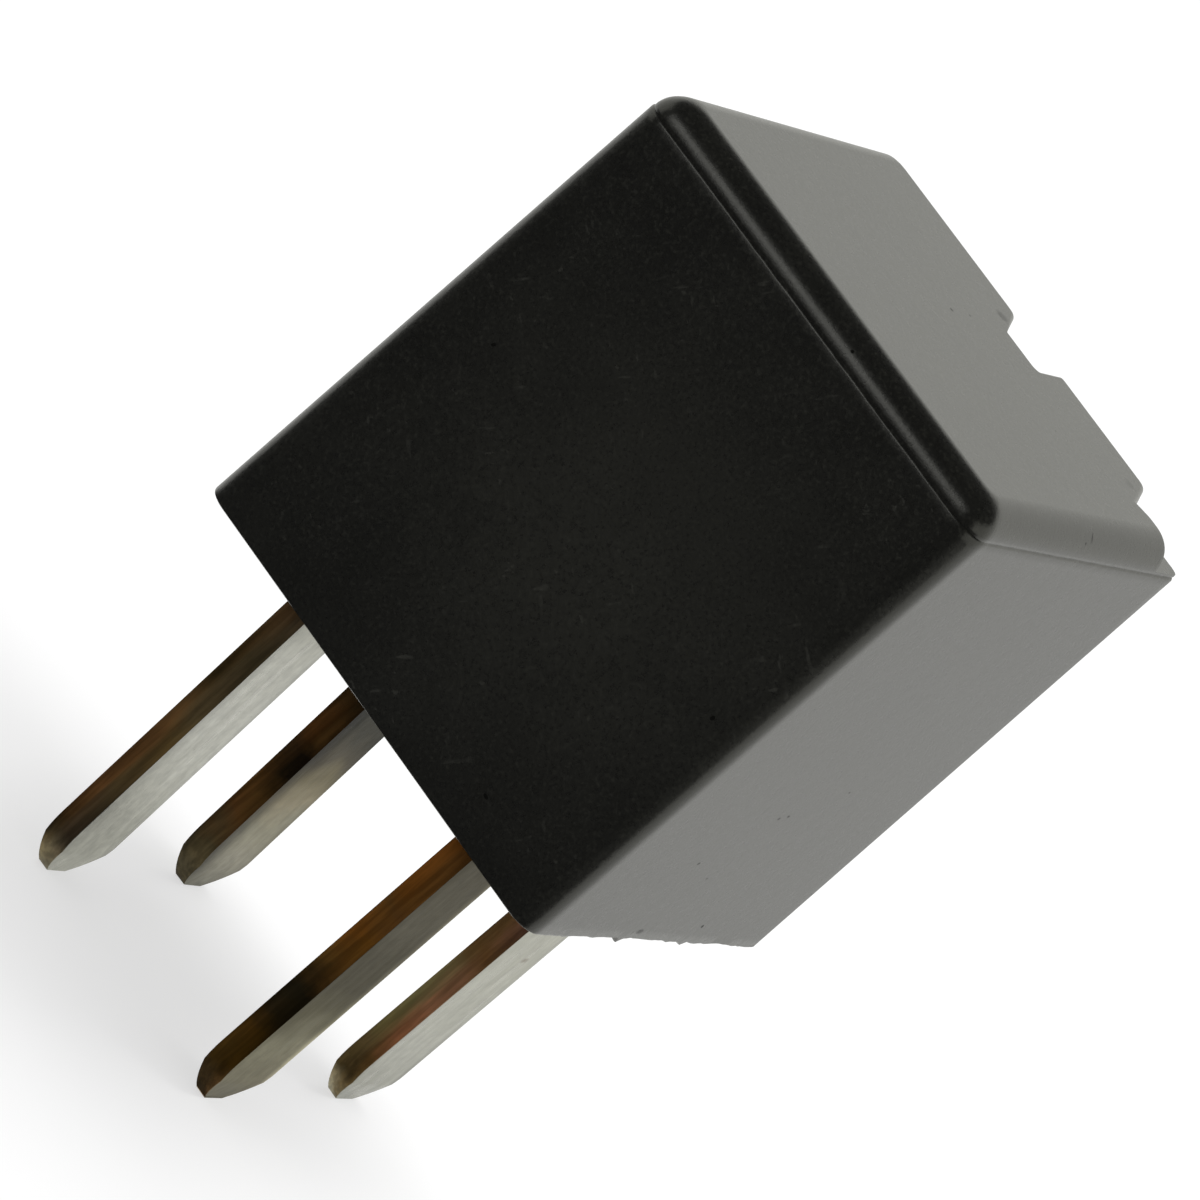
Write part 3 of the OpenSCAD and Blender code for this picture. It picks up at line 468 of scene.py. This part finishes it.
def buildCase(material):
    c = mouldedCase
    parting = c["height"] - c["topRound"]
    pocketX = c["halfWidth"] - c["skirtWall"]
    pocketY = c["halfDepth"] - c["skirtWall"]
    roomX = c["halfWidth"] - math.tan(math.radians(c["sideDraft"])) * parting - c["wall"]
    roomY = c["halfDepth"] - math.tan(math.radians(c["frontDraft"])) * parting - c["wall"]
    notchBack = c["notchFloorY"] - c["wall"]
    innerR = c["insideRound"]
    rings = [
        plainRing(roomX, -roomY, notchBack, innerR, c["roofInside"]),
        plainRing(roomX, -roomY, notchBack, innerR, c["lowRoofInside"]),
        plainRing(roomX, -roomY, roomY, innerR, c["lowRoofInside"]),
        plainRing(roomX, -roomY, roomY, innerR, c["baseTop"]),
        plainRing(pocketX, -pocketY, pocketY, innerR, c["baseTop"]),
        ruggedRim(plainRing(pocketX, -pocketY, pocketY, innerR, 0.05), 0.6),
        ruggedRim(plainRing(pocketX + 0.04, -pocketY - 0.04, pocketY + 0.04, innerR, 0.0)),
        ruggedRim(caseRing(0.0, False, 0.07)),
        ruggedRim(caseRing(0.03, False, 0.02)),
        ruggedRim(caseRing(0.09, False), 0.7)]
    for z in (*c["wallHeights"], parting - 0.3, parting - 0.07):
        rings.append(caseRing(z, False))
    rings.append(unevenSeam(caseRing(parting - 0.02, False, c["seamLip"])))
    rings.append(unevenSeam(caseRing(parting, False, c["seamDepth"] + 0.01)))
    rings.append(caseRing(parting + 0.02, False, c["seamDepth"] - c["seamStep"] + 0.01))
    rings.append(caseRing(parting + 0.045, False))
    rings.append(caseRing(c["notchBottomZ"], False))
    start = math.degrees(math.asin((c["notchBottomZ"] + 0.001 - parting) / c["topRound"]))
    rings.append(caseRing(c["notchBottomZ"], True))
    for k in range(1, c["topSteps"] + 1):
        angle = math.radians(start + (90 - start) * k / c["topSteps"])
        rings.append(caseRing(parting + c["topRound"] * math.sin(angle), True))
    points = [p for ring in rings for p in ring]
    count = len(rings[0])
    faces = [list(range(count))]
    for r in range(len(rings) - 1):
        for i in range(count):
            j = (i + 1) % count
            faces.append([r * count + i, r * count + j, (r + 1) * count + j, (r + 1) * count + i])
    last = (len(rings) - 1) * count
    faces.append(list(range(last, last + count)))
    piece = newPiece("caseMoulding", points, faces, material, "relay")
    piece.data.set_sharp_from_angle(angle=math.radians(40))
    evenShading(piece)
    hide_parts("cover")
    return piece


blackPlastic = blackMoulding()
caseMoulding = buildCase(blackPlastic)
print("case moulding:", len(caseMoulding.data.vertices), "points")


bladeHalfWidth = 1.4
bladeEdgeRound = 0.12

# bands run down a blade: height in millimetres, then colours as sRGB levels;
# an edge band has the colour of its left and of its right half. nearSide and farSide: how dark
# the face starts there and over what width it clears. lean: the blade's middle and slope in X,
# then in Y
bladeFinish = {
    "terminal_85": {
        "face": ((0, (150, 150, 138)), (-2, (174, 174, 165)), (-4.4, (179, 179, 171)),
                 (-6.8, (180, 180, 171)), (-8.6, (186, 186, 176)), (-9.6, (176, 176, 166)),
                 (-10.7, (172, 172, 162))),
        "edge": ((0, (170, 132, 90), (140, 118, 90)), (-2, (140, 112, 70), (120, 106, 76)),
                 (-3.2, (110, 92, 58), (134, 116, 84)), (-4.4, (168, 130, 84), (150, 130, 92)),
                 (-5.6, (196, 146, 92), (160, 132, 84)), (-8, (196, 140, 86), (138, 118, 84)),
                 (-9.2, (130, 100, 62), (136, 116, 92)), (-10.7, (130, 122, 92), (118, 112, 88))),
        "nearSide": (0.74, 0.55), "farSide": (0.8, 0.5), "mottle": 0.35,
        "roughness": 0.3, "grazing": 1.0,
        "spots": (), "lean": (-3.775, 0.0249, -4.5, 0.0)},
    "terminal_86": {
        "face": ((0, (56, 56, 50)), (-4.3, (60, 58, 48)), (-5.2, (88, 82, 68)),
                 (-6.1, (124, 116, 92)), (-6.8, (156, 147, 124)), (-8, (156, 152, 134)),
                 (-9.4, (160, 156, 142)), (-10.7, (132, 130, 118))),
        "edge": ((0, (110, 84, 50), (80, 66, 44)), (-3.2, (110, 84, 50), (80, 66, 44)),
                 (-4.6, (134, 92, 50), (116, 86, 48)), (-5.2, (92, 70, 46), (44, 36, 26)),
                 (-6.0, (92, 70, 44), (48, 40, 28)), (-6.9, (136, 98, 54), (118, 88, 48)),
                 (-8, (128, 90, 52), (130, 94, 54)), (-9.2, (104, 92, 66), (104, 92, 66)),
                 (-10.7, (70, 66, 54), (70, 66, 54))),
        "nearSide": (0.3, 1.1), "farSide": (0.8, 0.5), "mottle": 0.3,
        "roughness": 0.34, "grazing": 0.6,
        "spots": (), "lean": (-3.775, 0.0391, 3.6, -0.0213)},
    "terminal_87": {
        "face": ((0, (96, 92, 80)), (-3.2, (103, 99, 86)), (-4.6, (95, 91, 78)),
                 (-6.0, (96, 92, 78)), (-7.0, (112, 108, 90)), (-8.4, (152, 148, 128)),
                 (-10.7, (146, 140, 124))),
        "edge": ((0, (194, 128, 60), (160, 112, 60)), (-2.4, (198, 130, 58), (166, 116, 58)),
                 (-3.2, (178, 128, 68), (164, 116, 64)), (-4.4, (202, 134, 58), (182, 126, 54)),
                 (-5.6, (160, 120, 62), (156, 112, 56)), (-6.2, (104, 82, 50), (100, 76, 44)),
                 (-6.6, (80, 72, 52), (66, 58, 40)), (-7.3, (92, 74, 46), (70, 58, 34)),
                 (-8, (146, 106, 48), (104, 76, 30)), (-9.2, (140, 108, 54), (124, 92, 38)),
                 (-10.7, (170, 146, 110), (150, 118, 84))),
        "nearSide": (0.9, 0.4), "farSide": (2.2, 0.45), "mottle": 0.3,
        "roughness": 0.38, "grazing": 0.5,
        "spots": (), "lean": (4.175, 0.0, -4.5, 0.0)},
    "terminal_30": {
        "face": ((0, (154, 153, 142)), (-4.4, (162, 162, 150)), (-6.8, (159, 159, 148)),
                 (-8.2, (157, 157, 147)), (-9.6, (148, 148, 138)), (-10.7, (144, 144, 136))),
        "edge": ((0, (150, 122, 84), (156, 120, 102)), (-3.2, (156, 126, 84), (164, 122, 104)),
                 (-4.4, (166, 128, 80), (160, 120, 76)), (-5.6, (168, 152, 106), (190, 142, 106)),
                 (-6.8, (158, 148, 102), (208, 150, 112)), (-8, (164, 150, 98), (184, 126, 88)),
                 (-9.0, (150, 128, 86), (136, 102, 60)), (-9.6, (124, 104, 64), (114, 92, 56)),
                 (-10.7, (180, 172, 146), (124, 110, 78))),
        "nearSide": (0.9, 0.4), "farSide": (0.85, 0.5), "mottle": 0.25,
        "roughness": 0.3, "grazing": 1.0,
        "spots": (((4.6, 4.0, -4.3), (0.25, 0.28, 0.16), (96, 84, 62)),),
        "lean": (4.175, -0.01067, 3.6, 0.0)},
}


def stripMetal(name, look):
    finish = Finish(name, roughness=look["roughness"], metallic=1.0)
    finish.shader.inputs["Specular Tint"].default_value = (look["grazing"],) * 3 + (1,)
    middleX, slopeX, middleY, slopeY = look["lean"]
    height = finish.axis(finish.place, "Z")
    leanX = finish.maths("MULTIPLY", height, slopeX)
    leanY = finish.maths("MULTIPLY", height, slopeY)
    acrossX = finish.maths("ADD", finish.axis(finish.place, "X"), leanX)
    acrossY = finish.maths("ADD", finish.axis(finish.place, "Y"), leanY)
    turned = finish.maths("ABSOLUTE", finish.axis(finish.facing, "X"))
    sheared = finish.ramp(turned, 0.62, 0.25)
    streaks = finish.noise(2.4, 4, along=(1, 1, 0.1))
    fineStreaks = finish.noise(7, 3, along=(1, 1, 0.08))
    mottle = finish.noise(3.2, 4)
    cloud = finish.noise(0.8, 4)
    wander = finish.maths("MULTIPLY", finish.maths("SUBTRACT", cloud, 0.5), 2.2 * mm)
    level = finish.maths("ADD", height, wander)

    face = finish.bands(level, [(z, rgb(*tone)) for z, tone in look["face"]])
    nearEdge, farEdge = middleY - bladeHalfWidth, middleY + bladeHalfWidth
    tone, reach = look["nearSide"]
    near = finish.ramp(acrossY, nearEdge * mm, (nearEdge + reach) * mm, tone, 1)
    tone, reach = look["farSide"]
    far = finish.ramp(acrossY, farEdge * mm, (farEdge - reach) * mm, tone, 1)
    face = finish.scaled(face, finish.maths("MULTIPLY", near, far))
    face = finish.scaled(face, finish.ramp(mottle, 0.3, 0.7, 1 - look["mottle"] * 0.5, 1))
    face = finish.scaled(face, finish.ramp(fineStreaks, 0.3, 0.7, 0.93, 1.03))
    pits = finish.ramp(finish.noise(7.5, 2), 0.29, 0.25)
    face = finish.mix(finish.maths("MULTIPLY", pits, 0.35), face, rgb(96, 92, 80))
    for centre, size, tone in look["spots"]:
        stain = finish.spot(centre, size, 0.8, 0.5)
        face = finish.mix(finish.maths("MULTIPLY", stain, 0.85), face, rgb(*tone))

    left = finish.bands(level, [(z, rgb(*tone)) for z, tone, other in look["edge"]])
    right = finish.bands(level, [(z, rgb(*tone)) for z, other, tone in look["edge"]])
    sway = finish.maths("MULTIPLY", finish.maths("SUBTRACT", streaks, 0.5), 0.9 * mm)
    side = finish.maths("ADD", acrossX, sway)
    edge = finish.mix(finish.ramp(side, (middleX - 0.2) * mm, (middleX + 0.2) * mm), left, right)
    edge = finish.scaled(edge, finish.ramp(streaks, 0.3, 0.7, 0.7, 1.25))
    edge = finish.scaled(edge, finish.ramp(fineStreaks, 0.35, 0.65, 0.8, 1.15))
    finish.colour(finish.mix(sheared, face, edge))
    rough = finish.ramp(streaks, 0.3, 0.7, look["roughness"] - 0.04, look["roughness"] + 0.06)
    finish.roughness(finish.maths("ADD", rough, finish.maths("MULTIPLY", sheared, 0.22)))
    finish.bump(finish.noise(26, 2, along=(1, 1, 0.2)), 0.003)
    finish.bump(finish.noise(3.5, 3), 0.008)
    return finish.material


for nodeName, look in bladeFinish.items():
    material = stripMetal("tinnedStrip" + nodeName[-2:], look)
    piece = copyOfNode(nodeName, "blade" + nodeName[-2:], material, "relay")
    softEdges(piece, bladeEdgeRound, 4)
print("blades:", ", ".join(bladeFinish))


def plasticFinish(name, colour, roughness=0.5):
    finish = Finish(name, roughness=roughness)
    cloudy = finish.noise(0.8, 4)
    darker = [v * 0.72 for v in colour]
    finish.colour(finish.mix(finish.ramp(cloudy, 0.3, 0.7), darker, colour))
    finish.roughness(finish.ramp(cloudy, 0.3, 0.7, roughness - 0.06, roughness + 0.08))
    finish.bump(finish.noise(9, 3), 0.008)
    return finish.material


def metalFinish(name, colour, roughness=0.35, along=(1, 1, 1)):
    finish = Finish(name, roughness=roughness, metallic=1.0)
    rolled = finish.noise(3, 4, along=along)
    spots = finish.ramp(finish.noise(2.4, 3), 0.6, 0.75)
    darker = [v * 0.6 for v in colour]
    tone = finish.mix(finish.ramp(rolled, 0.3, 0.75), colour, darker)
    spotted = [v * 0.45 for v in colour]
    finish.colour(finish.mix(finish.maths("MULTIPLY", spots, 0.4), tone, spotted))
    finish.roughness(finish.ramp(rolled, 0.3, 0.7, roughness - 0.06, roughness + 0.1))
    finish.bump(finish.noise(22, 2, along=along), 0.005)
    return finish.material


def enamelFinish(name, colour):
    finish = Finish(name, roughness=0.3, metallic=1.0)
    finish.shader.inputs["Coat Weight"].default_value = 0.6
    finish.shader.inputs["Coat Roughness"].default_value = 0.2
    turns = finish.noise(1.2, 3, along=(0.3, 0.3, 6))
    finish.colour(finish.mix(finish.ramp(turns, 0.35, 0.7), [v * 0.55 for v in colour], colour))
    finish.roughness(finish.ramp(turns, 0.3, 0.7, 0.26, 0.42))
    finish.bump(finish.noise(8, 2), 0.006)
    return finish.material


def resinFinish(name, colour):
    finish = Finish(name, roughness=0.22)
    ripples = finish.noise(0.9, 3)
    bubbles = finish.ramp(finish.noise(4.5, 1), 0.27, 0.22)
    tone = finish.mix(finish.ramp(ripples, 0.3, 0.7), [v * 0.7 for v in colour], colour)
    # painted shade: the bubbles' dents are darkened to 0.3 of the resin's colour
    shadedHollow = [v * 0.3 for v in colour]
    finish.colour(finish.mix(finish.maths("MULTIPLY", bubbles, 0.6), tone, shadedHollow))
    finish.roughness(finish.ramp(ripples, 0.3, 0.7, 0.18, 0.34))
    finish.bump(ripples, 0.08)
    finish.bump(bubbles, -0.05)
    return finish.material


innerFinishes = {
    "base": plasticFinish("baseMoulding", rgb(58, 58, 54), 0.5),
    "base_seal": resinFinish("sealingResin", rgb(52, 46, 38)),
    "bobbin": plasticFinish("bobbinMoulding", rgb(206, 198, 172), 0.45),
    "coil_winding": enamelFinish("enamelledWire", rgb(188, 92, 44)),
    "core": metalFinish("softIronCore", rgb(186, 186, 182)),
    "yoke": metalFinish("softIronYoke", rgb(184, 184, 178), 0.36, (1, 1, 0.2)),
    "armature": metalFinish("softIronArmature", rgb(188, 188, 183), 0.34, (1, 0.2, 1)),
    "armature_rivets": metalFinish("rivetSteel", rgb(170, 168, 160), 0.3),
    "yoke_rivets": metalFinish("rivetSteelYoke", rgb(170, 168, 160), 0.3),
    "moving_contact": metalFinish("contactSilver", rgb(214, 212, 204), 0.28),
    "fixed_contact": metalFinish("contactSilverFixed", rgb(214, 212, 204), 0.28),
    "back_stop": metalFinish("stopStrip", rgb(176, 174, 166), 0.36, (1, 1, 0.2)),
    "coil_pin_start": metalFinish("tinnedPin", rgb(198, 198, 192), 0.3, (1, 1, 0.2)),
    "coil_pin_end": metalFinish("tinnedPinEnd", rgb(198, 198, 192), 0.3, (1, 1, 0.2)),
    "suppression_resistor": plasticFinish("resistorLacquer", rgb(96, 138, 168), 0.3),
    "resistor_leads": metalFinish("tinnedWire", rgb(198, 198, 192), 0.3),
    "solder_joints": metalFinish("solder", rgb(190, 190, 186), 0.26),
}
for nodeName, material in innerFinishes.items():
    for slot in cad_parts[nodeName].material_slots:
        slot.material = material
print("finishes:", len(innerFinishes), "nodes")


leafSpring = copyOfNode("contact_spring", "leafSpring",
                        metalFinish("springBronze", rgb(196, 148, 84), 0.3, (1, 0.25, 0.25)),
                        None)
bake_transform(leafSpring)


studio = {
    "floorSize": 0.6,
    "floorColour": (0.9, 0.9, 0.9),
    "floorGlow": 0.6,          # share of plain white that the floor shows to the eye
    "ambient": 0.55,
    "azimuth": 18.497,
    "elevation": 16.219,
    "roll": 48.726,
    "distance": 0.239048,
    "target": (-0.000544, 0.000294, 0.004551),
    "lens": 269.909,
    "mirrored": (1.0, 1.0, 0.94),
    "dimRoom": 0.085,          # how bright the dim side of the room is in a reflection
    # a lamp's direction, distance, size and power; a card's corners in millimetres
    "frontLeftLamp": ((-0.305, -0.864, 0.402), 0.1, (0.03, 0.03), 0.0075),
    "overheadLamp": ((0.1, 0.35, 0.95), 0.3, (0.25, 0.2), 0.9),
    "dimCards": {
        "frontCard": ((-200, -130, -10.6), (150, -130, -10.6), (150, -130, 160), (-200, -130, 160)),
        "ceilingCard": ((-220, -130, 160), (220, -130, 160), (220, 170, 160), (-220, 170, 160)),
        "floorCard": ((-200, -130, -10.65), (150, -130, -10.65),
                      (150, -6.1, -10.65), (-200, -6.1, -10.65)),
        "floorCardLeft": ((-30, -6.1, -10.65), (-4.1, -6.1, -10.65),
                          (-4.1, 2.2, -10.65), (-30, 2.2, -10.65)),
        "floorCardRight": ((-0.2, -6.1, -10.65), (4.4, -6.1, -10.65),
                           (4.4, 2.2, -10.65), (-0.2, 2.2, -10.65))},
}


def seenDirectly(nodes, links):
    # 1 for camera, glossy and transmission rays, so metal mirrors what the eye sees
    path = nodes.new("ShaderNodeLightPath")
    first = nodes.new("ShaderNodeMath")
    first.operation = "MAXIMUM"
    links.new(path.outputs["Is Camera Ray"], first.inputs[0])
    links.new(path.outputs["Is Glossy Ray"], first.inputs[1])
    second = nodes.new("ShaderNodeMath")
    second.operation = "MAXIMUM"
    links.new(first.outputs[0], second.inputs[0])
    links.new(path.outputs["Is Transmission Ray"], second.inputs[1])
    return second.outputs[0]


def warmInReflections(nodes, links):
    # plain white to the eye, a little warmer where the part mirrors it
    path = nodes.new("ShaderNodeLightPath")
    mix = nodes.new("ShaderNodeMix")
    mix.data_type = "RGBA"
    mix.inputs[6].default_value = (1, 1, 1, 1)
    mix.inputs[7].default_value = (*studio["mirrored"], 1)
    links.new(path.outputs["Is Glossy Ray"], mix.inputs[0])
    return mix.outputs[2]


def paleFloor():
    material = bpy.data.materials.new("paleFloor")
    material.use_nodes = True
    nodes, links = material.node_tree.nodes, material.node_tree.links
    nodes.remove(nodes["Principled BSDF"])
    output = nodes["Material Output"]
    matt = nodes.new("ShaderNodeBsdfDiffuse")
    matt.inputs["Color"].default_value = (*studio["floorColour"], 1)
    glow = nodes.new("ShaderNodeEmission")
    links.new(warmInReflections(nodes, links), glow.inputs["Color"])
    share = nodes.new("ShaderNodeMath")
    share.operation = "MULTIPLY"
    share.inputs[1].default_value = studio["floorGlow"]
    links.new(seenDirectly(nodes, links), share.inputs[0])
    mix = nodes.new("ShaderNodeMixShader")
    links.new(share.outputs[0], mix.inputs["Fac"])
    links.new(matt.outputs[0], mix.inputs[1])
    links.new(glow.outputs[0], mix.inputs[2])
    links.new(mix.outputs[0], output.inputs["Surface"])
    return material


def buildFloor():
    lowest = cadBox[0][2]
    half = studio["floorSize"] / 2
    mesh = bpy.data.meshes.new("floor")
    square = ((-half, -half), (half, -half), (half, half), (-half, half))
    mesh.from_pydata([(x, y, lowest) for x, y in square], [], [[0, 1, 2, 3]])
    mesh.materials.append(paleFloor())
    floor = bpy.data.objects.new("floor", mesh)
    bpy.context.scene.collection.objects.link(floor)


def buildWorld():
    world = bpy.data.worlds.new("whiteRoom")
    bpy.context.scene.world = world
    world.use_nodes = True
    nodes, links = world.node_tree.nodes, world.node_tree.links
    output = nodes["World Output"]
    dim = nodes["Background"]
    dim.inputs["Color"].default_value = (1, 1, 1, 1)
    dim.inputs["Strength"].default_value = studio["ambient"]
    white = nodes.new("ShaderNodeBackground")
    white.inputs["Strength"].default_value = 1.0
    links.new(warmInReflections(nodes, links), white.inputs["Color"])
    mix = nodes.new("ShaderNodeMixShader")
    links.new(seenDirectly(nodes, links), mix.inputs["Fac"])
    links.new(dim.outputs[0], mix.inputs[1])
    links.new(white.outputs[0], mix.inputs[2])
    links.new(mix.outputs[0], output.inputs["Surface"])


def addLamp(name, direction, distance, size, power):
    data = bpy.data.lights.new(name, "AREA")
    data.shape = "RECTANGLE"
    data.size, data.size_y = size
    data.energy = power
    lamp = bpy.data.objects.new(name, data)
    bpy.context.scene.collection.objects.link(lamp)
    away = Vector(direction).normalized()
    lamp.location = Vector((0, 0, 0.005)) + away * distance
    lamp.rotation_euler = away.to_track_quat("Z", "Y").to_euler()
    return lamp


def dimCard(name, corners):
    # the dim side of the room, met only by reflections: it keeps the front of black plastic black
    material = bpy.data.materials.new(name)
    material.use_nodes = True
    nodes, links = material.node_tree.nodes, material.node_tree.links
    nodes.remove(nodes["Principled BSDF"])
    glow = nodes.new("ShaderNodeEmission")
    glow.inputs["Color"].default_value = (1, 1, 1, 1)
    glow.inputs["Strength"].default_value = studio["dimRoom"]
    links.new(glow.outputs[0], nodes["Material Output"].inputs["Surface"])
    mesh = bpy.data.meshes.new(name)
    mesh.from_pydata([Vector(corner) * mm for corner in corners], [], [[0, 1, 2, 3]])
    mesh.materials.append(material)
    card = bpy.data.objects.new(name, mesh)
    bpy.context.scene.collection.objects.link(card)
    card.visible_camera = False
    card.visible_diffuse = False
    card.visible_shadow = False
    card.visible_transmission = False


def addCamera():
    azimuth = math.radians(studio["azimuth"])
    elevation = math.radians(studio["elevation"])
    level = math.cos(elevation)
    away = Vector((math.sin(azimuth) * level, -math.cos(azimuth) * level, math.sin(elevation)))
    right = Vector((math.cos(azimuth), math.sin(azimuth), 0))
    up = away.cross(right)
    turned = Matrix.Rotation(math.radians(studio["roll"]), 3, away)
    right, up = turned @ right, turned @ up
    data = bpy.data.cameras.new("studioCamera")
    data.lens = studio["lens"]
    data.sensor_width = 36
    data.clip_start = 0.01
    camera = bpy.data.objects.new("studioCamera", data)
    bpy.context.scene.collection.objects.link(camera)
    place = Matrix((right, up, away)).transposed().to_4x4()
    place.translation = Vector(studio["target"]) + away * studio["distance"]
    camera.matrix_world = place
    bpy.context.scene.camera = camera


buildFloor()
buildWorld()
addLamp("frontLeftLamp", *studio["frontLeftLamp"])
overheadLamp = addLamp("overheadLamp", *studio["overheadLamp"])
overheadLamp.visible_glossy = False
for name, corners in studio["dimCards"].items():
    dimCard(name, corners)
addCamera()
bpy.context.scene.view_settings.view_transform = "Standard"
print("studio ready")
